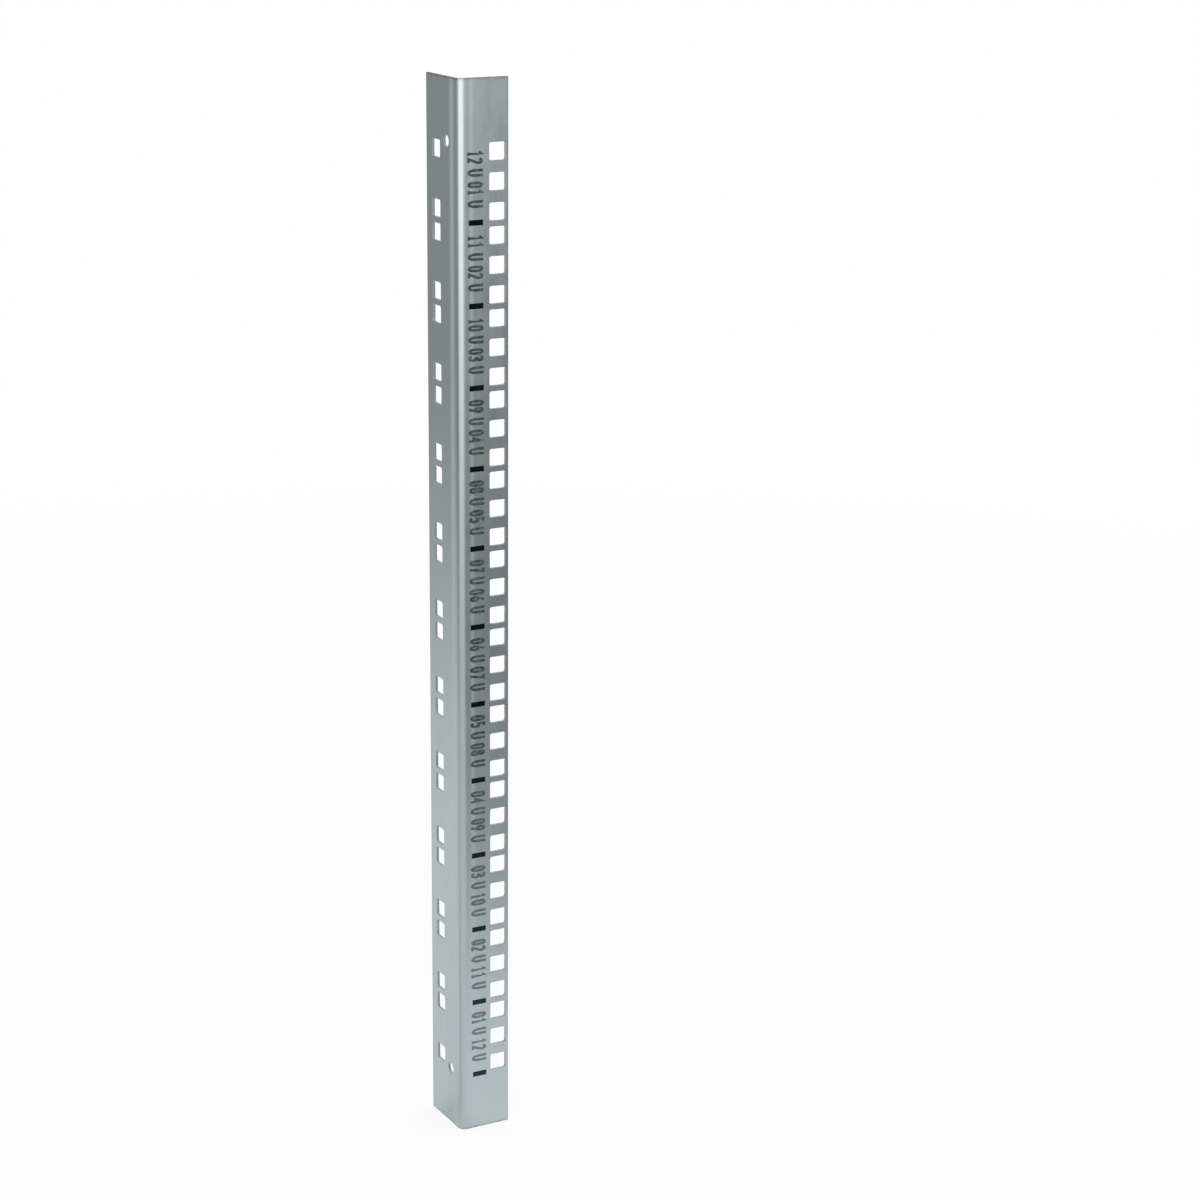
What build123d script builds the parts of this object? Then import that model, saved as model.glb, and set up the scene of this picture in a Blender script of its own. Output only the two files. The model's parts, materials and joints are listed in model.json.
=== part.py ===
"""Mounting rail of a 19 inch equipment rack, in millimetres.

One strip of zinc coated steel sheet is punched while flat and then bent once,
lengthwise, into an angle. The front flange carries three square holes for each
rack unit, for cage nuts. The side flange carries the holes that fasten the rail
to the frame of the rack: a square one level with the lowest and the highest hole
of each unit, and a round one near each end.

The rail stands on its cut end. The origin is under the middle of its box, the
front flange faces -Y, the side flange faces -X, and +Z runs along the rail.
The hole pattern is the same from either end, so the rail works either way up.
"""
from build123d import *
import os

# The rack unit, as the 19 inch standard gives it, and the narrow spacing between
# the highest hole of one unit and the lowest hole of the next
unit_height = 44.45
unit_count = 12
narrow_spacing = 12.7

# The sheet and its one bend
sheet_thickness = 1.5
bend_inside_radius = 2.0

# The two flanges, each measured from the outer face of the other one
front_flange_width = 30.0
side_flange_depth = 37.0

# The plain end left beyond the first and the last rack unit
plain_end = 32.3

# The square holes, the small round corners that the punch gives all of them, and
# the steel left between them and each flange's free edge
front_square_hole = 9.5
front_edge_web = 1.75
side_square_hole = 9.5
side_edge_web = 6.75
punch_corner_radius = 1.0

# The round screw holes of the side flange: how far the middle of each one is
# beyond the middle of the last square hole, and the steel left beside that hole
screw_hole_diameter = 6.5
screw_hole_beyond_square = 5.0
screw_hole_web = 4.0

# Sizes that follow from the ones above. A line is how far the middle of a row of
# holes is from the outer face of the other flange
rail_length = unit_count * unit_height + 2 * plain_end
hole_spacing = (unit_height - narrow_spacing) / 2
front_hole_line = front_flange_width - front_edge_web - front_square_hole / 2
side_hole_line = side_flange_depth - side_edge_web - side_square_hole / 2
screw_hole_line = side_hole_line - side_square_hole / 2 - screw_hole_web - screw_hole_diameter / 2
bend_outside_radius = bend_inside_radius + sheet_thickness
punch_travel = 2 * sheet_thickness

# Each flange's outer face is a drawing plane with its first axis across the
# flange, away from the outer corner, and its second axis up the rail
front_face = Plane(origin=(0, 0, 0), x_dir=(1, 0, 0), z_dir=(0, -1, 0))
side_face = Plane(origin=(0, 0, 0), x_dir=(0, 1, 0), z_dir=(1, 0, 0))


def unit_middles():
    """Height of the middle of each rack unit above the rail's lower end."""
    first = plain_end + unit_height / 2
    return [first + unit_height * number for number in range(unit_count)]


def front_hole_heights():
    """Three heights in each unit: its middle, and one hole spacing below and above."""
    return [
        middle + hole_spacing * step
        for middle in unit_middles()
        for step in (-1, 0, 1)
    ]


def side_hole_heights():
    """Two heights in each unit, level with its lowest and highest front hole."""
    return [
        middle + hole_spacing * step
        for middle in unit_middles()
        for step in (-1, 1)
    ]


def screw_hole_heights():
    """One height near each end, just outside the end square hole."""
    squares = side_hole_heights()
    return [
        min(squares) - screw_hole_beyond_square,
        max(squares) + screw_hole_beyond_square,
    ]


def section():
    """The bent sheet seen from its end: two flanges and the round bend."""
    with BuildSketch() as angle:
        with BuildLine():
            Polyline(
                (0, 0),
                (front_flange_width, 0),
                (front_flange_width, sheet_thickness),
                (sheet_thickness, sheet_thickness),
                (sheet_thickness, side_flange_depth),
                (0, side_flange_depth),
                close=True,
            )
        make_face()
        corners = angle.vertices().sort_by_distance((0, 0))
        outside_corner = corners[0]
        inside_corner = corners[1]
        fillet(outside_corner, bend_outside_radius)
        inside_again = angle.vertices().sort_by_distance(inside_corner.center())[0]
        fillet(inside_again, bend_inside_radius)
    return angle.sketch


def mounting_rail():
    """The section drawn out to length, with every hole punched through it."""
    with BuildPart() as rail:
        add(section())
        extrude(amount=rail_length)

        with BuildSketch(front_face):
            with Locations([(front_hole_line, height) for height in front_hole_heights()]):
                RectangleRounded(front_square_hole, front_square_hole, punch_corner_radius)
        extrude(amount=punch_travel, both=True, mode=Mode.SUBTRACT)

        with BuildSketch(side_face):
            with Locations([(side_hole_line, height) for height in side_hole_heights()]):
                RectangleRounded(side_square_hole, side_square_hole, punch_corner_radius)
            with Locations([(screw_hole_line, height) for height in screw_hole_heights()]):
                Circle(screw_hole_diameter / 2)
        extrude(amount=punch_travel, both=True, mode=Mode.SUBTRACT)
    return rail.part


def place_on_origin(solid):
    """Move the outer corner so that the origin is under the middle of the box."""
    return Pos(-front_flange_width / 2, -side_flange_depth / 2, 0) * solid


os.makedirs("parts", exist_ok=True)
export_step(place_on_origin(mounting_rail()), "parts/mounting_rail.step")
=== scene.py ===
# %% [markdown]
# # The mounting rail of an equipment rack
#
# The rail is one strip of zinc coated sheet steel. A press punches rows of
# square holes into it while it is flat, and then bends it once, lengthwise, into
# an angle. A printed scale of numbers on the front flange counts the rack units
# from both ends. This lesson makes the bent sheet, its ink and its finishes, and
# lights them as plain soft studio light does.
#
# The construction model is loaded first and is never changed. Everything new is
# worked out in metres in its frame: the front flange faces -Y, the side flange
# faces -X, and the rail stands on its lower cut end at height zero.

# %% Load the construction model
import json
import math

import bpy
import numpy as np
from mathutils import Matrix, Vector


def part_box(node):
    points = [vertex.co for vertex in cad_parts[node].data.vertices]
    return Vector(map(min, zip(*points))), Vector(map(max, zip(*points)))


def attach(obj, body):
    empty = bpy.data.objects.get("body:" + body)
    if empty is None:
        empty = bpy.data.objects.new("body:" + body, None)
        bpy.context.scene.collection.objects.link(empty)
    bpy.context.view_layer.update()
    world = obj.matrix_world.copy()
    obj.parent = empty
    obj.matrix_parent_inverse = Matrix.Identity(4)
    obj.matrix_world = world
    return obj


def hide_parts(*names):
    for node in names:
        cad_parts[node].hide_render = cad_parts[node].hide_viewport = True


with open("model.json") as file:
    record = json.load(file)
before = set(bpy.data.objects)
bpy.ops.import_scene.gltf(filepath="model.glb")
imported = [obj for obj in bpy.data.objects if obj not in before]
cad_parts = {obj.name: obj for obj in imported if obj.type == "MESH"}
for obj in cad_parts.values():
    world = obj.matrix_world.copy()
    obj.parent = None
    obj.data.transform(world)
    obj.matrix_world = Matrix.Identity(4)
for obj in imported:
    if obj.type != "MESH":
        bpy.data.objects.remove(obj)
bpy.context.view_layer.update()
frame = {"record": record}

low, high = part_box("mounting_rail")
print("construction box, mm:", [round(1000 * float(size), 2) for size in high - low])

# %% [markdown]
# ## Sizes
#
# The overall sizes are read from the construction model, and the screw hole from
# the mounts in its record. The rack unit and the square holes are the standard's
# own figures. The sheet, its bend and the steel beside the holes are those of the
# construction. They are written here once, and everything else follows from them.

# %% The sizes of the sheet, its bend and its holes
MM = 0.001
front_width = high.x - low.x
side_depth = high.y - low.y
rail_length = high.z - low.z

unit_height = 44.45 * MM
unit_count = 12
hole_spacing = 15.875 * MM
square_half = 9.5 / 2 * MM
punch_corner_radius = 1.0 * MM
front_edge_web = 1.75 * MM
side_edge_web = 6.75 * MM

sheet_thickness = 1.5 * MM
bend_radius = 3.5 * MM
ink_film = 0.02 * MM

plain_end = (rail_length - unit_count * unit_height) / 2
unit_middles = plain_end + unit_height * (np.arange(unit_count) + 0.5)

mounts = {mount["name"]: mount for mount in frame["record"]["mounts"]}
screw_mounts = [mounts["lower_screw_hole"], mounts["upper_screw_hole"]]
screw_radius = screw_mounts[0]["dims"]["r_mm"] * MM
print("plain end, mm:", round(plain_end / MM, 2))
print("screw hole radius, mm:", round(screw_radius / MM, 2))

# %% [markdown]
# ## The camera
#
# The camera stands in front of the rail, a little to its left and above its top,
# and looks down on it. It could be placed by eye, but a rail is all straight
# lines, and a small error in the angle shows in how they run together. So the
# place, the three turns and the focal length are those of a pinhole camera that
# was fitted to the corners of the holes, with the rack unit as the known size.

# %% Place the camera
camera_place = (-0.6939, -1.3921, 0.7535)
camera_yaw = math.radians(29.169)
camera_pitch = math.radians(15.899)
camera_roll = math.radians(0.539)
focal_length_in_pixels = 2921.3
picture_width_in_pixels = 1200
sensor_width = 36.0
nearest_seen = 0.05
farthest_seen = 60.0


def camera_axes(yaw, pitch, roll):
    """The camera's right, up and backward directions as a 3 by 3 matrix.

    At zero turns it looks along +Y. Yaw turns it towards +X, pitch tips it down,
    and roll then turns right towards up.
    """
    forward = np.array([
        math.sin(yaw) * math.cos(pitch),
        math.cos(yaw) * math.cos(pitch),
        -math.sin(pitch),
    ])
    level_right = np.array([math.cos(yaw), -math.sin(yaw), 0.0])
    level_up = np.cross(level_right, forward)
    right = math.cos(roll) * level_right + math.sin(roll) * level_up
    up = math.cos(roll) * level_up - math.sin(roll) * level_right
    return np.column_stack([right, up, -forward])


lens = bpy.data.cameras.new("camera")
lens.sensor_width = sensor_width
lens.lens = sensor_width * focal_length_in_pixels / picture_width_in_pixels
lens.clip_start = nearest_seen
lens.clip_end = farthest_seen
camera = bpy.data.objects.new("camera", lens)
turn = Matrix(camera_axes(camera_yaw, camera_pitch, camera_roll).tolist()).to_4x4()
camera.matrix_world = Matrix.Translation(camera_place) @ turn
bpy.context.scene.collection.objects.link(camera)
bpy.context.scene.camera = camera
print("lens, mm:", round(lens.lens, 2))

# %% [markdown]
# ## The sheet, laid flat
#
# A bent sheet is easiest to think of flat. One parameter runs across the strip,
# from the side flange's free edge round the bend to the front flange's free edge.
# The other runs up the rail. A grid of lines in both directions covers the strip,
# and cells that lie in a hole are left out, just as the punch takes them out.
#
# Cutting the holes with Boolean modifiers would also work, but it leaves long
# thin triangles that shade badly on bare metal. A grid keeps every face square
# to the light, and its lines can be put exactly where an edge is.

# %% Lines across and along the flat strip
side_run = side_depth - bend_radius
bend_length = bend_radius * math.pi / 2
front_start = side_run + bend_length
strip_width = front_start + front_width - bend_radius

side_line = side_edge_web + square_half
front_line = strip_width - front_edge_web - square_half
screw_line = high.y - screw_mounts[0]["pos_m"][1]
screw_heights = [mount["pos_m"][2] for mount in screw_mounts]
print("strip width, mm:", round(strip_width / MM, 2))

hole_rows = np.concatenate([unit_middles + hole_spacing * step for step in (-1, 0, 1)])
outer_rows = np.concatenate([unit_middles + hole_spacing * step for step in (-1, 1)])
holes = [(front_line, height, square_half, punch_corner_radius) for height in hole_rows]
holes += [(side_line, height, square_half, punch_corner_radius) for height in outer_rows]
holes += [(screw_line, height, screw_radius, screw_radius) for height in screw_heights]
print("holes:", len(holes))


def lines_through_hole(half, corner):
    """Offsets of the grid lines that a hole needs, from its own middle.

    Each corner arc gets a line at its end, and others where the tangents of equal
    steps of angle fall, so that the arc's points come out evenly spaced. A corner
    as large as the hole itself makes it round, and then it gets one step more.
    """
    steps_to_diagonal = 2 if corner < half else 3
    tangents = np.tan(np.linspace(0.0, math.pi / 4, steps_to_diagonal + 1))
    positive = half - corner + corner * tangents
    return np.concatenate([-positive, positive])


def grid_lines(start, end, marks, largest_step):
    """All marks in order, with the wider gaps between them divided evenly.

    The number of parts is the gap over the largest step, rounded up. Marks that
    agree to eight decimals of a metre are one, and a gap that is a whole number of
    steps is safe from rounding.
    """
    marks = np.unique(np.round(np.concatenate([[start, end], marks]), 8))
    parts = np.maximum(1, np.ceil(np.diff(marks) / largest_step - 1e-6)).astype(int)
    pieces = [
        np.linspace(first, last, count, endpoint=False)
        for first, last, count in zip(marks[:-1], marks[1:], parts)
    ]
    return np.concatenate(pieces + [[end]])


# %% [markdown]
# ## The marks of the bending tool
#
# A press brake pushes the sheet into a groove with two rounded shoulders. The
# sheet slides over them while it bends, so each flange keeps a shallow, rubbed
# band along its whole length, a few millimetres from the corner. Where the front
# flange leaves the bend, the sheet has also sunk a little, and this makes the
# highlight wider than the bend itself. Both are part of the shape. How much each
# point is rubbed is kept beside it as a number, because the rubbed zinc is duller
# too, and the material needs to know.
# So is how much painted shade darkens the sheet's ends and long edges.

# %% The relief and the rubbed bands of the outer face
side_corner = side_depth
front_corner = front_start - bend_radius
side_band = {"middle": side_corner - 6.9 * MM, "width": 2.1 * MM, "strength": 0.75}
front_band = {"middle": front_corner + 8.0 * MM, "width": 1.15 * MM, "strength": 0.27}
band_depth = 0.02 * MM
sunk_middle = front_corner + 2.9 * MM
sunk_width = 0.95 * MM
sunk_depth = 0.07 * MM
# Painted shade along the sheet's ends and long edges: its width there, and its strength on the
# long edges.
end_shade_width = 1.0 * MM
free_edge_shade_width = 0.6 * MM
free_edge_shade = 0.7


def bell(across, middle, width):
    """A bell curve: 1 at its middle, and 1/e one width away from it."""
    return np.exp(-((across - middle) / width) ** 2)


def rubbed(across):
    """How much the tool has rubbed the face, from 0 to 1: one bell per band."""
    return sum(
        band["strength"] * bell(across, band["middle"], band["width"])
        for band in (side_band, front_band)
    )


def relief(across):
    """How far the outer face stands out from the nominal one; never above zero.

    The rubbed bands and the sunk line beside the bend are bells pressed into the
    face. On the front flange the face also lies one ink film deeper, so that the
    ink ends at the nominal face.
    """
    around = np.clip((across - side_run) / bend_length, 0.0, 1.0)
    film = ink_film * around * around * (3 - 2 * around)
    return -film - band_depth * rubbed(across) - sunk_depth * bell(across, sunk_middle, sunk_width)


def worn(from_side_edge, from_lower_end):
    """How much painted shade lies along the sheet's ends and long edges, from 0 to 1.

    It is a bell curve of the distance to the nearer end, or a lower and narrower
    one of the distance to the nearer free edge, whichever is more.
    """
    to_end = np.minimum(from_lower_end, rail_length - from_lower_end)
    to_free_edge = np.minimum(from_side_edge, strip_width - from_side_edge)
    at_ends = bell(to_end, 0.0, end_shade_width)
    at_free_edges = free_edge_shade * bell(to_free_edge, 0.0, free_edge_shade_width)
    return np.maximum(at_ends, at_free_edges)


print("deepest mark, mm:", round(-relief(np.linspace(0.0, strip_width, 1000)).min() / MM, 3))

# %% [markdown]
# ## Where the grid needs its lines
#
# A relief, or the painted shade along an edge, shows only if the grid has points
# on it. So lines stand close together over the rubbed bands, round the bend and
# along the sheet's own edges, and at every hole. The plain stretches between them need only a few.

# %% All lines across and along
marked_on_side = 12 * MM
marked_on_front = 11 * MM
mark_lines = np.concatenate([
    np.linspace(side_corner - marked_on_side, side_run, 18),
    np.linspace(side_run, front_start, 17),
    np.linspace(front_start, front_corner + marked_on_front, 22),
])
edge_lines = np.array([0.3, 0.6, 0.9, 1.3, 1.8]) * MM
largest_cell_width = 3.0 * MM
largest_cell_height = 6.0 * MM

across_marks = [mark_lines, edge_lines, strip_width - edge_lines]
across_marks += [
    line + lines_through_hole(half, corner)
    for line, half, corner in (
        (side_line, square_half, punch_corner_radius),
        (screw_line, screw_radius, screw_radius),
        (front_line, square_half, punch_corner_radius),
    )
]
along_marks = [height + lines_through_hole(half, corner) for _, height, half, corner in holes]
along_marks += [edge_lines, rail_length - edge_lines]
across = grid_lines(0.0, strip_width, np.concatenate(across_marks), largest_cell_width)
along = grid_lines(0.0, rail_length, np.concatenate(along_marks), largest_cell_height)
print("grid lines:", len(across), "across by", len(along), "along")

# %% [markdown]
# ## Punching
#
# Each hole starts as a square of whole cells. The points on its outline are then
# pulled onto the true outline: a square with small round corners for the cage
# nuts, and a circle for the screws. Both are one rule, because a circle is a
# square whose corners have grown until they meet.

# %% Round the holes and leave their cells out
same_place = 0.0001 * MM
no_distance = 1e-12


def punch(flat_across, flat_along, hole):
    """Move the points on a hole's square outline onto its rounded outline.

    The square's core is smaller by the corner radius all round. Each point is put
    one corner radius away from the core's nearest point, in the direction in which
    it lay. So it turns about the core's corner, or stays on a straight side.
    """
    line, height, half, corner = hole
    offset_across = flat_across - line
    offset_along = flat_along - height
    reach = np.maximum(np.abs(offset_across), np.abs(offset_along))
    on_outline = np.abs(reach - half) < same_place
    core = half - corner
    core_across = np.clip(offset_across, -core, core)
    core_along = np.clip(offset_along, -core, core)
    lean_across = offset_across - core_across
    lean_along = offset_along - core_along
    distance = np.maximum(np.hypot(lean_across, lean_along), no_distance)
    new_across = line + core_across + lean_across / distance * corner
    new_along = height + core_along + lean_along / distance * corner
    moved_across = np.where(on_outline, new_across, flat_across)
    moved_along = np.where(on_outline, new_along, flat_along)
    return moved_across, moved_along


flat_across, flat_along = np.meshgrid(across, along)
cell_across = (across[:-1] + across[1:]) / 2
cell_along = (along[:-1] + along[1:]) / 2
cell_middle_across, cell_middle_along = np.meshgrid(cell_across, cell_along)
kept_cell = np.ones(cell_middle_across.shape, bool)
for hole in holes:
    line, height, half, _ = hole
    inside_across = np.abs(cell_middle_across - line) < half
    inside_along = np.abs(cell_middle_along - height) < half
    kept_cell &= ~(inside_across & inside_along)
    flat_across, flat_along = punch(flat_across, flat_along, hole)
print("cells kept:", int(kept_cell.sum()), "of", kept_cell.size)

# %% [markdown]
# ## Bending
#
# The flat strip is bent by one formula for every point at once. The distance
# across the strip is split into three shares: what lies on the side flange, what
# lies on the bend, and what lies on the front flange. The share on the bend,
# divided by its radius, is the angle that the sheet has turned through there.

# %% Bend the strip into an angle


def bend(distance_across, height_along):
    """Points of the bent sheet's outer face.

    The side flange goes straight towards the outer corner, the bend turns through
    a quarter circle, and the front flange goes straight away from it. The outward
    direction turns with the sheet, and the relief is added along it.
    """
    on_side = np.minimum(distance_across, side_run)
    angle = np.clip(distance_across - side_run, 0.0, bend_length) / bend_radius
    on_front = np.maximum(distance_across - front_start, 0.0)
    outward_x = -np.cos(angle)
    outward_y = -np.sin(angle)
    stands_out = relief(distance_across)
    x = low.x + bend_radius * (1 - np.cos(angle)) + on_front + outward_x * stands_out
    y = high.y - on_side - bend_radius * np.sin(angle) + outward_y * stands_out
    return np.stack([x, y, low.z + height_along], axis=-1)


def make_mesh(name, points, faces):
    """A mesh object from whole arrays: points are n by 3, faces are m by 4."""
    mesh = bpy.data.meshes.new(name)
    mesh.from_pydata(points.tolist(), [], faces.tolist())
    mesh.update()
    made = bpy.data.objects.new(name, mesh)
    bpy.context.scene.collection.objects.link(made)
    return made


def grid_faces(rows, columns):
    """Corner numbers of every cell of a grid of points, one row after another."""
    point = np.arange(rows * columns).reshape(rows, columns)
    return np.stack([point[:-1, :-1], point[:-1, 1:], point[1:, 1:], point[1:, :-1]], axis=-1)


outer_face = bend(flat_across, flat_along).reshape(-1, 3)
cells = grid_faces(len(along), len(across))[kept_cell]
used = np.unique(cells)
renumbered = np.full(len(outer_face), -1)
renumbered[used] = np.arange(len(used))
rail = make_mesh("rail_sheet", outer_face[used], renumbered[cells])
rail.data.polygons.foreach_set("use_smooth", np.ones(len(rail.data.polygons), bool))
# Each point keeps how much it is rubbed and how much painted edge shade it gets.
point_values = {"rubbed": rubbed(flat_across), "worn": worn(flat_across, flat_along)}
for name, share in point_values.items():
    attribute = rail.data.attributes.new(name, "FLOAT", "POINT")
    attribute.data.foreach_set("value", share.ravel()[used])
print("faces of the outer face:", len(rail.data.polygons))

# %% [markdown]
# ## Thickness and edges
#
# The grid is only the outer face. Solidify gives it the sheet's thickness towards
# the inside, and closes every cut edge and hole wall. A narrow Bevel then breaks
# the sharp edges, because a real punched edge always catches a thin line of light.
# The walls get the second material, since the cut shows bare steel.

# %% Give the sheet its thickness and its broken edges
edge_break = 0.12 * MM
sharp_edge = math.radians(40)

thickness = rail.modifiers.new("thickness", "SOLIDIFY")
thickness.thickness = sheet_thickness - ink_film
thickness.offset = -1.0
thickness.use_even_offset = True
thickness.use_rim = True
thickness.material_offset_rim = 1

edges = rail.modifiers.new("edges", "BEVEL")
edges.width = edge_break
edges.segments = 2
edges.limit_method = "ANGLE"
edges.angle_limit = sharp_edge
edges.harden_normals = True

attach(rail, "root")
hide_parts("mounting_rail")
print("modifiers of the sheet:", [modifier.name for modifier in rail.modifiers])

# %% [markdown]
# ## The printed scale
#
# Each rack unit is printed with its number from one end, its number from the
# other end, and a bar at its lower edge. The words run down the rail, with their
# tops towards the free edge. A font would do for the digits, but a font brings
# its own curves and weights, and the print is plain: narrow strokes of one width.
# So each character is a few strokes, and every stroke is a path. The path is the
# middle line of the stroke, made of straight runs and arcs of an ellipse.

# %% Strokes of the characters
bar_length = 8.5 * MM
bar_height = 3.0 * MM
bar_middle_from_corner = 11.2 * MM
bar_above_unit_edge = 1.0 * MM
character_foot_from_corner = 6.3 * MM
character_height = 9.2 * MM
digit_width = 3.5 * MM
digit_step = 3.8 * MM
letter_width = 4.1 * MM
stroke_width = 1.5 * MM
print_lean = 0.0020
ink_sinks_in = 0.04 * MM
ink_step = 0.006 * MM


def drift(height):
    """How far the print has wandered from the corner at a height on the rail.

    The sheet went through the printer a tenth of a degree askew, so the column
    crosses its nominal line in the middle of the rail.
    """
    return print_lean * (rail_length / 2 - height)


def arc(middle_x, middle_y, radius_x, radius_y, start, end, count=9):
    """Points of an arc of an ellipse between two angles in degrees."""
    angle = np.radians(np.linspace(start, end, count))
    x = middle_x + radius_x * np.cos(angle)
    y = middle_y + radius_y * np.sin(angle)
    return np.column_stack([x, y])


def run(*corners):
    """Points of a path of straight runs through the corners given."""
    return np.array(corners, float)


def path(*parts):
    """Several runs and arcs joined into one path."""
    return np.concatenate(parts)


# Each character fills a box that is one wide and one high, with strokes given as
# paths from its lower left corner. A stroke that ends at the box's top or foot
# runs half its own width further, because the box is that of the middle lines.
strokes_of = {
    "0": [path(
        arc(0.5, 0.74, 0.5, 0.26, 0, 180),
        arc(0.5, 0.33, 0.5, 0.33, 180, 360),
        run((1, 0.74)),
    )],
    "1": [
        run((0.10, 0.78), (0.55, 1.0), (0.55, 0.0)),
        run((0.10, 0.0), (1.0, 0.0)),
    ],
    "2": [path(
        arc(0.5, 0.74, 0.5, 0.26, 165, -35),
        run((0.0, 0.0), (1.0, 0.0)),
    )],
    "3": [path(
        arc(0.46, 0.765, 0.5, 0.235, 160, -90),
        arc(0.46, 0.275, 0.54, 0.275, 90, -160),
    )],
    "4": [run((0.78, -0.09), (0.78, 1.0), (0.0, 0.28), (1.0, 0.28))],
    "5": [path(
        run((0.92, 1.0), (0.14, 1.0), (0.06, 0.55)),
        arc(0.45, 0.32, 0.55, 0.32, 125, -150),
    )],
    "6": [path(
        run((0.76, 1.07)),
        arc(0.5, 0.30, 0.5, 0.30, 165, -195, 17),
    )],
    "7": [run((0.0, 1.0), (1.0, 1.0), (0.31, -0.07))],
    "8": [
        arc(0.5, 0.76, 0.44, 0.24, -90, 270, 15),
        arc(0.5, 0.26, 0.5, 0.26, -90, 270, 15),
    ],
    "9": [path(
        run((0.24, -0.07)),
        arc(0.5, 0.70, 0.5, 0.30, -15, 345, 17),
    )],
    "U": [path(
        run((0.0, 1.09)),
        arc(0.5, 0.42, 0.5, 0.42, 180, 360),
        run((1.0, 1.09)),
    )],
}
print("characters:", len(strokes_of))

# %% [markdown]
# ## Ink with a thickness
#
# The print could be a colour in the sheet's material, but then it would need an
# image or a mask, and it would be lost from the bare mesh. So every stroke is a
# very thin closed slab of ink: one flat profile, as wide as the stroke, is carried
# along its path. Slabs that cross must not share a plane, because a renderer can't
# tell which of two faces in one place is in front, and shows dark blotches.

# %% Carry a flat profile along every stroke
sharpest_mitre = 0.45


def ribbon(centre_line, width):
    """Left and right edges of a stroke of even width, with mitred corners.

    At each point the directions of the runs before and after are averaged, and the
    offset to the side of that is lengthened by one over the cosine of half the
    turn. The cosine is held above a limit, so that a sharp corner has no long tip.
    """
    along_path = np.diff(centre_line, axis=0)
    along_path /= np.linalg.norm(along_path, axis=1)[:, None]
    before = np.vstack([along_path[:1], along_path])
    after = np.vstack([along_path, along_path[-1:]])
    sideways = before + after
    sideways /= np.linalg.norm(sideways, axis=1)[:, None]
    cosine = np.sum(sideways * before, axis=1)
    normal = np.column_stack([-sideways[:, 1], sideways[:, 0]])
    offset = normal * (width / 2 / np.maximum(cosine, sharpest_mitre))[:, None]
    return centre_line + offset, centre_line - offset


def ink_slab(left, right, layer=0):
    """A thin closed slab between two edges given on the front flange's face.

    The edges hold distances from the outer corner and heights. The slab's outer
    face starts at the flange's nominal face, or one step deeper for each layer, and
    sinks by one more step along the stroke. So where a stroke crosses itself or
    another one, no two faces lie in one plane. Its back lies inside the sheet.
    """
    face = low.y + ink_step * (layer + np.linspace(0.0, 1.0, len(left)))
    back = np.full(len(left), low.y + ink_film + ink_sinks_in)
    rings = np.stack([
        np.column_stack([low.x + edge[:, 0], depth, edge[:, 1]])
        for edge, depth in ((left, face), (right, face), (right, back), (left, back))
    ], axis=1)
    this_ring = np.arange(len(left) - 1)[:, None] * 4
    next_ring = this_ring + 4
    corner = np.arange(4)[None, :]
    next_corner = (corner + 1) % 4
    walls = np.stack([
        this_ring + corner, this_ring + next_corner, next_ring + next_corner, next_ring + corner,
    ], axis=-1)
    last_ring = 4 * (len(left) - 1)
    caps = np.array([[3, 2, 1, 0], [last_ring, last_ring + 1, last_ring + 2, last_ring + 3]])
    return rings.reshape(-1, 3), np.concatenate([walls.reshape(-1, 4), caps])


def printed(strokes, width, first_edge_height):
    """Slabs for one character whose left side is at a height on the rail.

    The character's own width runs down the rail, and its height away from the
    outer corner.
    """
    inset = stroke_width / 2
    foot = character_foot_from_corner + drift(first_edge_height)
    slabs = []
    for layer, stroke in enumerate(strokes):
        run_down = inset + stroke[:, 0] * (width - stroke_width)
        run_out = inset + stroke[:, 1] * (character_height - stroke_width)
        line = np.column_stack([foot + run_out, first_edge_height - run_down])
        slabs.append(ink_slab(*ribbon(line, stroke_width), layer))
    return slabs


def join_slabs(slabs):
    """All slabs as one set of points and one set of faces."""
    starts = np.cumsum([0] + [len(points) for points, _ in slabs[:-1]])
    points = np.concatenate([points for points, _ in slabs])
    faces = np.concatenate([faces + start for (_, faces), start in zip(slabs, starts)])
    return points, faces


# %% [markdown]
# ## Setting the scale out
#
# Counted down the rail, each unit reads: number from the bottom, a U, number from
# the top, a U, and the bar. The distances below are from the unit's upper edge,
# so they are the same in every unit and a loop prints all twelve.

# %% Print the twelve units
word_starts = {
    "from_bottom": 5.35 * MM,
    "first_letter": 15.15 * MM,
    "from_top": 21.75 * MM,
    "second_letter": 31.55 * MM,
}


def number_slabs(number, upper_edge, start):
    """Two digits, with a leading zero, starting a distance below the unit's edge."""
    slabs = []
    for place, digit in enumerate(f"{number:02d}"):
        height = upper_edge - start - place * digit_step
        slabs += printed(strokes_of[digit], digit_width, height)
    return slabs


def letter_slabs(upper_edge, start):
    """The letter U, starting a distance below the unit's upper edge."""
    return printed(strokes_of["U"], letter_width, upper_edge - start)


def bar_slab(upper_edge):
    """The bar across the scale, a little above the unit's lower edge."""
    height = upper_edge - unit_height + bar_above_unit_edge
    middle = bar_middle_from_corner + drift(height)
    ends = middle + np.array([-bar_length / 2, bar_length / 2])
    line = np.column_stack([ends, np.full(2, height)])
    return ink_slab(*ribbon(line, bar_height))


digit_slabs = []
bar_slabs = []
for unit in range(unit_count):
    upper_edge = rail_length - plain_end - unit * unit_height
    digit_slabs += number_slabs(unit_count - unit, upper_edge, word_starts["from_bottom"])
    digit_slabs += letter_slabs(upper_edge, word_starts["first_letter"])
    digit_slabs += number_slabs(unit + 1, upper_edge, word_starts["from_top"])
    digit_slabs += letter_slabs(upper_edge, word_starts["second_letter"])
    bar_slabs.append(bar_slab(upper_edge))

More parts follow.
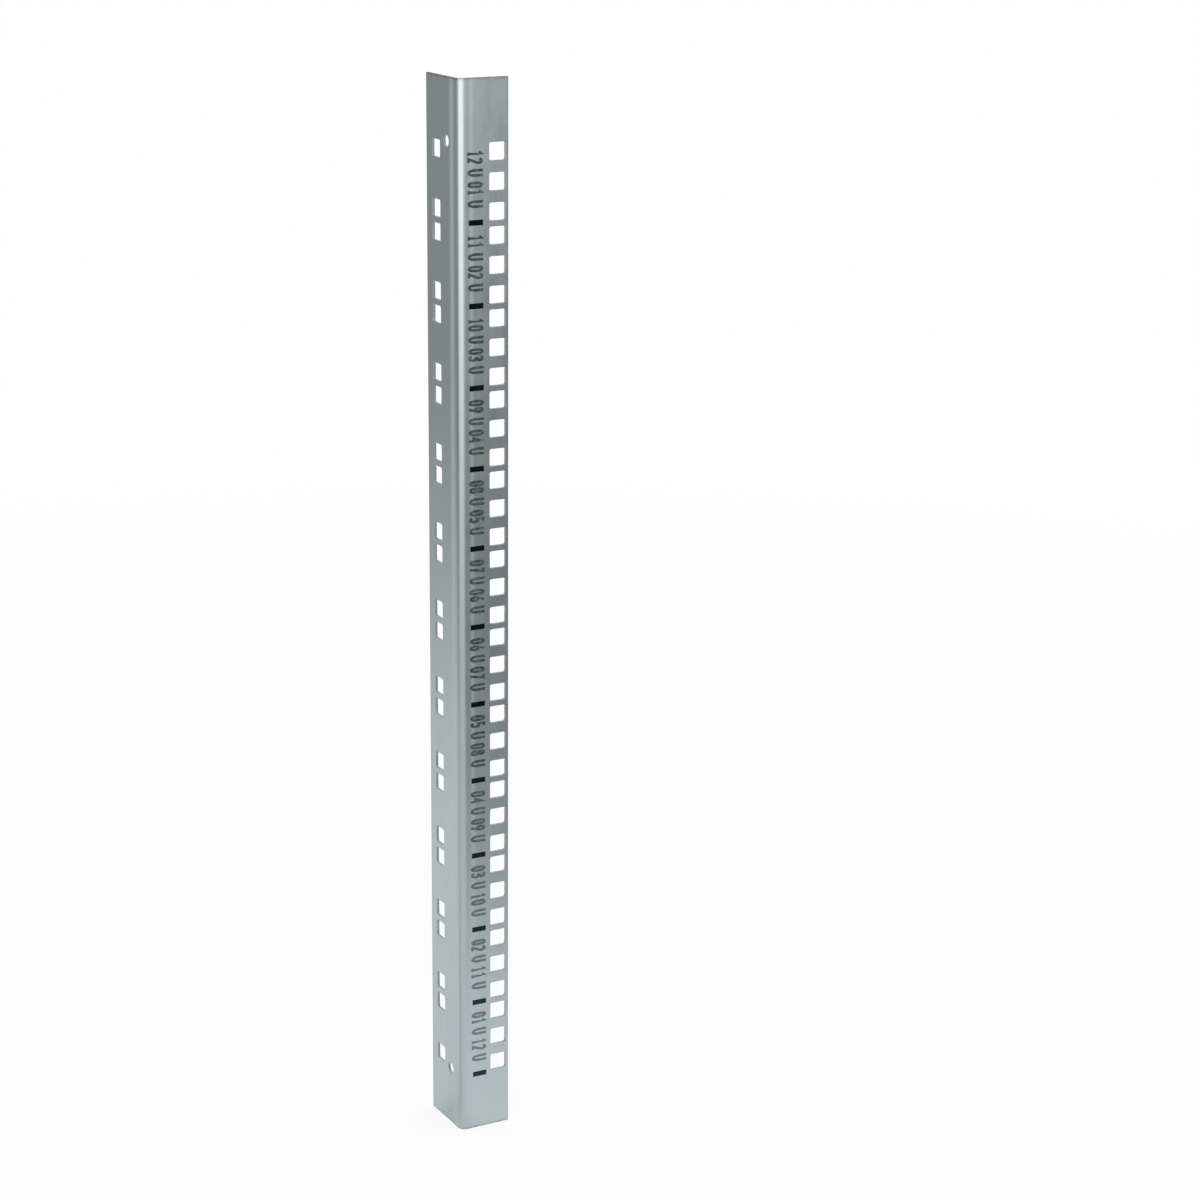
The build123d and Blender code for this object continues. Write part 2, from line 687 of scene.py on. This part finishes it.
scale_digits = make_mesh("scale_digits", *join_slabs(digit_slabs))
scale_bars = make_mesh("scale_bars", *join_slabs(bar_slabs))
for ink_piece in (scale_digits, scale_bars):
    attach(ink_piece, "root")
print("faces of the print:", len(scale_digits.data.polygons), "and", len(scale_bars.data.polygons))

# %% [markdown]
# ## Shader maths as plain expressions
#
# A material is a sum of small nodes. Written out one by one they hide what is
# meant, so a small class lets a socket take part in ordinary arithmetic, and one
# method adds any other node.

# %% A small class for sockets


class Value:
    """A material's number socket that can be added, multiplied and so on."""

    def __init__(self, finish, socket):
        self.finish = finish
        self.socket = socket

    def _math(self, operation, first, second):
        return self.finish.node("ShaderNodeMath", {"operation": operation}, {0: first, 1: second})

    def __add__(self, other):
        return self._math("ADD", self, other)

    __radd__ = __add__

    def __sub__(self, other):
        return self._math("SUBTRACT", self, other)

    def __rsub__(self, other):
        return self._math("SUBTRACT", other, self)

    def __mul__(self, other):
        return self._math("MULTIPLY", self, other)

    __rmul__ = __mul__


class Finish:
    """A material, or the world, and its nodes."""

    def __init__(self, name, tree=None):
        self.material = None
        self.tree = tree
        if tree is None:
            self.material = bpy.data.materials.new(name)
            self.material.use_nodes = True
            self.tree = self.material.node_tree
        self.tree.nodes.clear()

    def node(self, kind, settings=None, inputs=None, output=0):
        """Add a node: its settings first, then its inputs, given as values or links."""
        made = self.tree.nodes.new(kind)
        for name, setting in (settings or {}).items():
            setattr(made, name, setting)
        for name, value in (inputs or {}).items():
            if isinstance(value, Value):
                self.tree.links.new(value.socket, made.inputs[name])
            else:
                made.inputs[name].default_value = value
        return Value(self, made.outputs[output])

    def mix_colours(self, share, first, second):
        """A blend of two colours by a number from 0 to 1."""
        settings = {"data_type": "RGBA", "blend_type": "MIX"}
        return self.node("ShaderNodeMix", settings, {0: share, 6: first, 7: second}, output=2)

    def between(self, value, from_low, from_high, to_low, to_high):
        """The value carried from one range to another and held inside it."""
        limits = {1: from_low, 2: from_high, 3: to_low, 4: to_high}
        return self.node("ShaderNodeMapRange", {"clamp": True}, {0: value, **limits})

    def stretched_noise(self, scale, stretch, detail):
        """Noise on the piece's own coordinates, drawn out along the rail."""
        place = self.node("ShaderNodeTexCoord", output="Object")
        squeeze = (1, 1, 1 / stretch)
        squeezed = self.node("ShaderNodeMapping", None, {"Vector": place, "Scale": squeeze})
        inputs = {"Vector": squeezed, "Scale": scale, "Detail": detail, "Roughness": 0.5}
        return self.node("ShaderNodeTexNoise", None, inputs, output="Fac")

    def point_value(self, name):
        """The number that was kept beside each point of the mesh under a name."""
        return self.node("ShaderNodeAttribute", {"attribute_name": name}, output="Fac")

    def surface(self, shader):
        """Use a shader as the material's surface."""
        output = self.tree.nodes.new("ShaderNodeOutputMaterial")
        self.tree.links.new(shader.socket, output.inputs["Surface"])
        return self.material


# %% [markdown]
# ## The zinc coating
#
# The coating is thin zinc that has gone dull. It reflects like satin, and it is
# clouded: patches lean a little to blue green or to violet, fine lines run along
# the rail where the strip was rolled, and the sheen changes slowly from place to
# place. Each of these is one noise, drawn out along the rail by its own amount.
# In the bands that the tool has rubbed, the zinc has since turned to pale, chalky
# oxide. That is no longer bare metal, so it keeps its tone where the mirror image
# in the metal round it is dark. Along the sheet's ends and long edges, a darker
# colour is painted on as shade, in a ragged line.
#
# Each noise below has three numbers: how many of its spots fit in a metre, how many
# times longer than wide they are, and how much finer detail is added. A noise
# keeps mostly to the middle of its range, so the span given beside it is what is
# spread out to run from 0 to 1.

# %% The finish of the coated faces
zinc_tone = (0.410, 0.482, 0.505, 1.0)
zinc_green = (0.395, 0.480, 0.478, 1.0)
zinc_violet = (0.425, 0.472, 0.522, 1.0)
zinc_rubbed = (0.400, 0.470, 0.500, 1.0)
# A dark tone painted on along the sheet's ends and long edges as shade.
edge_shade_tone = (0.190, 0.195, 0.200, 1.0)
zinc_roughness = (0.24, 0.32)
rubbed_roughness = 0.50
rubbed_metal_lost = 0.55

cloud_noise = (42.0, 2.5, 1.0)
cloud_span = (0.30, 0.70)
cloud_share = 0.8
patch_noise = (110.0, 2.0, 2.0)
patch_span = (0.30, 0.72)
patch_share = 0.5
rolling_noise = (900.0, 40.0, 3.0)
# The ragged line and the strength of the painted edge shade.
ragged_noise = (350.0, 1.0, 2.0)
ragged_span = (0.35, 0.65)
edge_shade_depth = (0.35, 0.75)
sheen_from_rolling = 0.4
sheen_span = (0.2, 0.8)
bump_from_rolling = 0.7
bump_strength = 0.09
bump_depth = 0.04 * MM


def zinc_coating():
    """Dull zinc with clouded colour, fine rolling lines and duller rubbed bands.

    The colour goes over from one tone to the next by each noise in turn. Roughness
    and bump follow the patches and the rolling lines together.
    """
    finish = Finish("zinc_coating")
    clouds = finish.between(finish.stretched_noise(*cloud_noise), *cloud_span, 0.0, 1.0)
    patches = finish.between(finish.stretched_noise(*patch_noise), *patch_span, 0.0, 1.0)
    rolling = finish.stretched_noise(*rolling_noise)
    ragged = finish.between(finish.stretched_noise(*ragged_noise), *ragged_span, *edge_shade_depth)
    rub = finish.point_value("rubbed")
    # The edge share paints shade along the sheet's ends and long edges.
    edge = finish.point_value("worn") * ragged
    colour = finish.mix_colours(clouds * cloud_share, zinc_tone, zinc_green)
    colour = finish.mix_colours(patches * patch_share, colour, zinc_violet)
    colour = finish.mix_colours(rub, colour, zinc_rubbed)
    colour = finish.mix_colours(edge, colour, edge_shade_tone)
    sheen = patches * (1 - sheen_from_rolling) + rolling * sheen_from_rolling
    roughness = finish.between(sheen, *sheen_span, *zinc_roughness)
    roughness = roughness * (1 - rub) + rubbed_roughness * rub
    height = rolling * bump_from_rolling + patches * (1 - bump_from_rolling)
    bump = finish.node("ShaderNodeBump", None, {
        "Strength": bump_strength, "Distance": bump_depth, "Height": height,
    })
    metal = finish.node("ShaderNodeBsdfPrincipled", None, {
        "Base Color": colour,
        "Metallic": 1 - rubbed_metal_lost * rub,
        "Roughness": roughness,
        "Normal": bump,
    })
    return finish.surface(metal)


rail.data.materials.append(zinc_coating())
print("finish of the faces:", rail.data.materials[0].name)

# %% [markdown]
# ## The cut edges
#
# Where the press has cut the strip, the zinc is sheared away and bare steel shows.
# In the punched holes the die has smeared some zinc over it. The two ends are
# sawn later, so they are bare, and their faces are painted dark and a little green
# as shade; the strip's two long edges get nearly as much of this painted shade.

# %% The finish of the cut edges
hole_wall = (0.520, 0.575, 0.590, 1.0)
hole_wall_bare = (0.400, 0.430, 0.440, 1.0)
# Painted shade on the end faces, and nearly as much on the long edges.
cut_edge_shade = (0.115, 0.145, 0.135, 1.0)
shear_noise = (700.0, 1.0, 4.0)
shear_span = (0.35, 0.68)
cut_roughness = 0.42
added_where_bare = 0.16


def cut_steel():
    """Sheared steel, rougher than the coating, and darker round the sheet's rim.

    The painted edge shade is 1 on the sawn ends, 0.7 on the long edges and
    0 in the holes, so it also tells one kind of cut from the other.
    """
    finish = Finish("cut_steel")
    shear = finish.between(finish.stretched_noise(*shear_noise), *shear_span, 0.0, 1.0)
    colour = finish.mix_colours(shear, hole_wall, hole_wall_bare)
    # Painted shade on the end faces and the long edges.
    colour = finish.mix_colours(finish.point_value("worn"), colour, cut_edge_shade)
    roughness = cut_roughness + added_where_bare * shear
    metal = finish.node("ShaderNodeBsdfPrincipled", None, {
        "Base Color": colour, "Metallic": 1.0, "Roughness": roughness,
    })
    return finish.surface(metal)


rail.data.materials.append(cut_steel())
print("finish of the cut edges:", rail.data.materials[1].name)

# %% [markdown]
# ## The ink
#
# The scale is printed in a matt black ink. The bars are solid. The fine strokes
# of the characters cover less well, so the metal makes them look a little grey,
# and towards the lower end of the rail the ink has worn thinner still.

# %% The finish of the print
cover_noise = (420.0, 1.0, 3.0)
cover_span = (0.38, 0.70)
fading_heights = (0.00, 0.24)
ink_roughness = 0.55
added_where_thin = 0.1
bar_tones = [(0.001, 0.003, 0.004, 1), (0.003, 0.006, 0.007, 1), (0.018, 0.030, 0.034, 1)]
bar_gloss = 0.02
digit_tones = [(0.022, 0.033, 0.033, 1), (0.068, 0.085, 0.086, 1), (0.150, 0.170, 0.175, 1)]
digit_gloss = 0.15


def printing_ink(name, tones, gloss):
    """Matt ink that wavers between a dark, well covered tone and a thinner one.

    It goes over to the third, faded tone towards the lower end of the rail.
    """
    dark, thin, faded = tones
    finish = Finish(name)
    cover = finish.between(finish.stretched_noise(*cover_noise), *cover_span, 0.0, 1.0)
    place = finish.node("ShaderNodeTexCoord", output="Object")
    height = finish.node("ShaderNodeSeparateXYZ", None, {"Vector": place}, output="Z")
    fading = finish.between(height, *fading_heights, 1.0, 0.0)
    colour = finish.mix_colours(cover, dark, thin)
    colour = finish.mix_colours(fading, colour, faded)
    roughness = ink_roughness + added_where_thin * cover
    ink = finish.node("ShaderNodeBsdfPrincipled", None, {
        "Base Color": colour, "Roughness": roughness, "Specular IOR Level": gloss,
    })
    return finish.surface(ink)


bar_ink = printing_ink("bar_ink", bar_tones, bar_gloss)
digit_ink = printing_ink("digit_ink", digit_tones, digit_gloss)
scale_bars.data.materials.append(bar_ink)
scale_digits.data.materials.append(digit_ink)
print("finishes of the print:", bar_ink.name, "and", digit_ink.name)

# %% [markdown]
# ## The floor and the world
#
# The rail stands on a plain white floor under a white world. A mix of plain paper
# and a white glow keeps the floor white and still lets it take the rail's soft
# shadow. The glow is there for rays from the camera, and for rays that metal
# reflects, so that the metal shows the same white floor. Away from the rail the
# glow takes over, so that no horizon shows.

# %% Floor and world
floor_radius = 6.0
floor_glow_share = 0.8
floor_fade = (0.4, 1.6)
floor_rings = 24
floor_spokes = 96
paper_colour = (0.9, 0.9, 0.9, 1.0)
white_colour = (1.0, 1.0, 1.0, 1.0)
world_light = 0.9


def seen_or_reflected(finish):
    """One for camera, glossy and transmission rays, and zero for all others."""
    seen = finish.node("ShaderNodeLightPath", output="Is Camera Ray")
    reflected = finish.node("ShaderNodeLightPath", output="Is Glossy Ray")
    through = finish.node("ShaderNodeLightPath", output="Is Transmission Ray")
    return seen + reflected + through


def studio_floor():
    """A round sheet of floor: the radius grows in rings, the angle in spokes."""
    ring = np.linspace(1.0 * MM, floor_radius, floor_rings)
    spoke = np.linspace(0, 2 * math.pi, floor_spokes)
    radius, angle = np.meshgrid(ring, spoke, indexing="ij")
    points = np.stack([radius * np.cos(angle), radius * np.sin(angle), 0 * radius], axis=-1)
    faces = grid_faces(floor_rings, floor_spokes).reshape(-1, 4)[:, ::-1]
    floor = make_mesh("floor", points.reshape(-1, 3), faces)
    finish = Finish("floor")
    paper = finish.node("ShaderNodeBsdfDiffuse", None, {"Color": paper_colour})
    white = finish.node("ShaderNodeEmission", None, {"Color": white_colour, "Strength": 1.0})
    place = finish.node("ShaderNodeTexCoord", output="Object")
    away = finish.node("ShaderNodeVectorMath", {"operation": "LENGTH"}, {0: place}, output="Value")
    share = finish.between(away, *floor_fade, floor_glow_share, 1.0)
    glowing = seen_or_reflected(finish) * share
    shader = finish.node("ShaderNodeMixShader", None, {0: glowing, 1: paper, 2: white})
    floor.data.materials.append(finish.surface(shader))
    return floor


def studio_world():
    """A white world that is a little dimmer as a light than it is to the eye."""
    world = bpy.data.worlds.new("studio")
    world.use_nodes = True
    bpy.context.scene.world = world
    finish = Finish("studio", world.node_tree)
    light = finish.node("ShaderNodeBackground", None, {
        "Color": white_colour, "Strength": world_light,
    })
    shown = finish.node("ShaderNodeBackground", None, {"Color": white_colour, "Strength": 1.0})
    seen = seen_or_reflected(finish)
    both = finish.node("ShaderNodeMixShader", None, {0: seen, 1: light, 2: shown})
    output = finish.tree.nodes.new("ShaderNodeOutputWorld")
    finish.tree.links.new(both.socket, output.inputs["Surface"])
    return world


floor = studio_floor()
world = studio_world()
print("faces of the floor:", len(floor.data.polygons), " world:", world.name)

# %% [markdown]
# ## The light tent
#
# Bare metal shows what stands round it, so a photographer builds a tent of white
# cloth and grey card for it. Here the tent is an open tube that only reflections
# see, and its cloth also runs in over the floor to the foot of the rail. The
# cloth glows white. A soft box in front brightens towards its top, and puts the
# highlight on the bend. The stand below it takes a little light away. A dark card
# on the right keeps the front flange darker than the side flange in the middle of
# the rail, one on the left darkens the side flange towards its top, and a paler
# one beside it does so towards its foot. In front of the rail, the cloth on the
# floor throws some light back up.
#
# All of them are one kind of thing: a patch of the tube with soft borders. So each
# is a row of numbers, and one function turns any row into a patch.

# %% The patches of the tent
tent_radius = 0.42
tent_height = 1.5
cloth_on_floor = 0.415
cloth_lift = 0.5 * MM
soft_box_tint = (1.04, 0.97, 0.91)

# Each patch has its strength, then the four azimuths in degrees between which it
# fades in and fades out, and then four such places along the cloth in metres. A
# patch with no border on a side has its two numbers there beyond the cloth's end.
full_turn = (-2.0, -1.0, 361.0, 362.0)
from_start = (-2.0, -1.0)
to_top = (2.0, 3.0)
cloth_patches = {
    "left_card": (-0.55, (62, 90, 178, 215), (-0.02, 0.40, *to_top)),
    "corner_card": (-0.16, (130, 160, 185, 235), (*from_start, 0.25, 0.50)),
    "right_card": (-0.68, (276, 290, 330, 350), (-0.22, 0.17, 0.38, 0.80)),
    "soft_box_stand": (-0.135, (190, 215, 262, 288), (-0.06, 0.08, 0.15, 0.29)),
    "light_thrown_up": (0.12, (245, 280, 320, 345), (*from_start, -0.38, -0.20)),
    "cloth_on_floor": (-0.03, full_turn, (*from_start, -0.10, 0.05)),
}
soft_box = (1.05, (200, 232, 286, 290), (0.20, 0.56, *to_top))
print("patches of the tent:", len(cloth_patches) + 1)


def smooth_step(value, start, end):
    """Rises from 0 at start to 1 at end, with no corner at either one."""
    part = np.clip((value - start) / (end - start), 0.0, 1.0)
    return part * part * (3 - 2 * part)


def plateau(value, fades_in, stands, fades_out, gone):
    """A smooth step up, times one minus a smooth step down further on."""
    return smooth_step(value, fades_in, stands) * (1 - smooth_step(value, fades_out, gone))


def patch_glow(patch, azimuth, along):
    """What a patch adds: its strength times a plateau in azimuth and one along."""
    strength, azimuths, places = patch
    return strength * plateau(azimuth, *azimuths) * plateau(along, *places)


def tent_glow(azimuth, along):
    """Colour of the tent by azimuth in degrees and place along the cloth.

    The place is a height in metres on the tube, and below zero it is how far the
    cloth has run in over the floor. The cloth is 1, each card takes a share away,
    and the soft box adds its own slightly warm light.
    """
    cloth = 1.0 + sum(patch_glow(patch, azimuth, along) for patch in cloth_patches.values())
    box = patch_glow(soft_box, azimuth, along)
    return cloth[..., None] * np.ones(3) + box[..., None] * np.array(soft_box_tint)


# %% [markdown]
# ## Setting the tent up
#
# The tent's colour could be mixed from gradient nodes, but the function above
# already gives it for whole arrays. So it is kept at each point of the mesh as a
# colour attribute, and the material only glows in that colour. The tent is turned
# off for the camera, for plain light, for glass and for shadows, so that nothing
# but the reflections in the metal comes from it.

# %% Set up the tent
tent_columns = 145
tent_rows = 77


def light_tent():
    """A tube round the rail, with a floor, that glows inwards and only metal sees.

    Along the cloth, the radius grows up to the tube's own and stays there, and
    the height stays at the floor and then rises.
    """
    azimuth, along = np.meshgrid(
        np.linspace(0, 360, tent_columns), np.linspace(-cloth_on_floor, tent_height, tent_rows))
    angle = np.radians(azimuth)
    radius = tent_radius + np.minimum(along, 0.0)
    height = cloth_lift + np.maximum(along, 0.0)
    points = np.stack([radius * np.cos(angle), radius * np.sin(angle), height], axis=-1)
    faces = grid_faces(tent_rows, tent_columns).reshape(-1, 4)[:, ::-1]
    tent = make_mesh("light_tent", points.reshape(-1, 3), faces)
    glow = np.concatenate([tent_glow(azimuth, along), np.ones(azimuth.shape + (1,))], axis=-1)
    glow_attribute = tent.data.color_attributes.new("glow", "FLOAT_COLOR", "POINT")
    glow_attribute.data.foreach_set("color", glow.ravel())
    tent.visible_camera = False
    tent.visible_diffuse = False
    tent.visible_transmission = False
    tent.visible_shadow = False
    finish = Finish("tent_cloth")
    cloth = finish.node("ShaderNodeAttribute", {"attribute_name": "glow"}, output="Color")
    shader = finish.node("ShaderNodeEmission", None, {"Color": cloth, "Strength": 1.0})
    tent.data.materials.append(finish.surface(shader))
    return tent


tent = light_tent()
print("faces of the tent:", len(tent.data.polygons))

# %% [markdown]
# ## The lamp
#
# One large soft lamp stands a little above the camera. It lights the ink and lays
# the rail's shadow on the floor behind it, where it shows through the holes. The
# metal already has the tent to reflect, so the lamp is left out of reflections.

# %% Soft lamp
lamp_place = (-1.1, -2.3, 1.25)
lamp_target = (0.0, 0.0, 0.3)
lamp_size = 0.6
lamp_power = 30.0


def soft_lamp(name, place, target, size, power):
    """A square soft lamp that faces a point."""
    light = bpy.data.lights.new(name, "AREA")
    light.shape = "SQUARE"
    light.size = size
    light.energy = power
    lamp = bpy.data.objects.new(name, light)
    lamp.visible_glossy = False
    away = Vector(place) - Vector(target)
    facing = away.to_track_quat("Z", "Y").to_matrix().to_4x4()
    lamp.matrix_world = Matrix.Translation(place) @ facing
    bpy.context.scene.collection.objects.link(lamp)
    return lamp


key_lamp = soft_lamp("key_lamp", lamp_place, lamp_target, lamp_size, lamp_power)
print("lamp:", key_lamp.name, " side, m:", lamp_size)

# %% [markdown]
# ## Colour and closing
#
# Colours are shown as they are, with no film look.

# %% Finish
bpy.context.scene.view_settings.view_transform = "Standard"
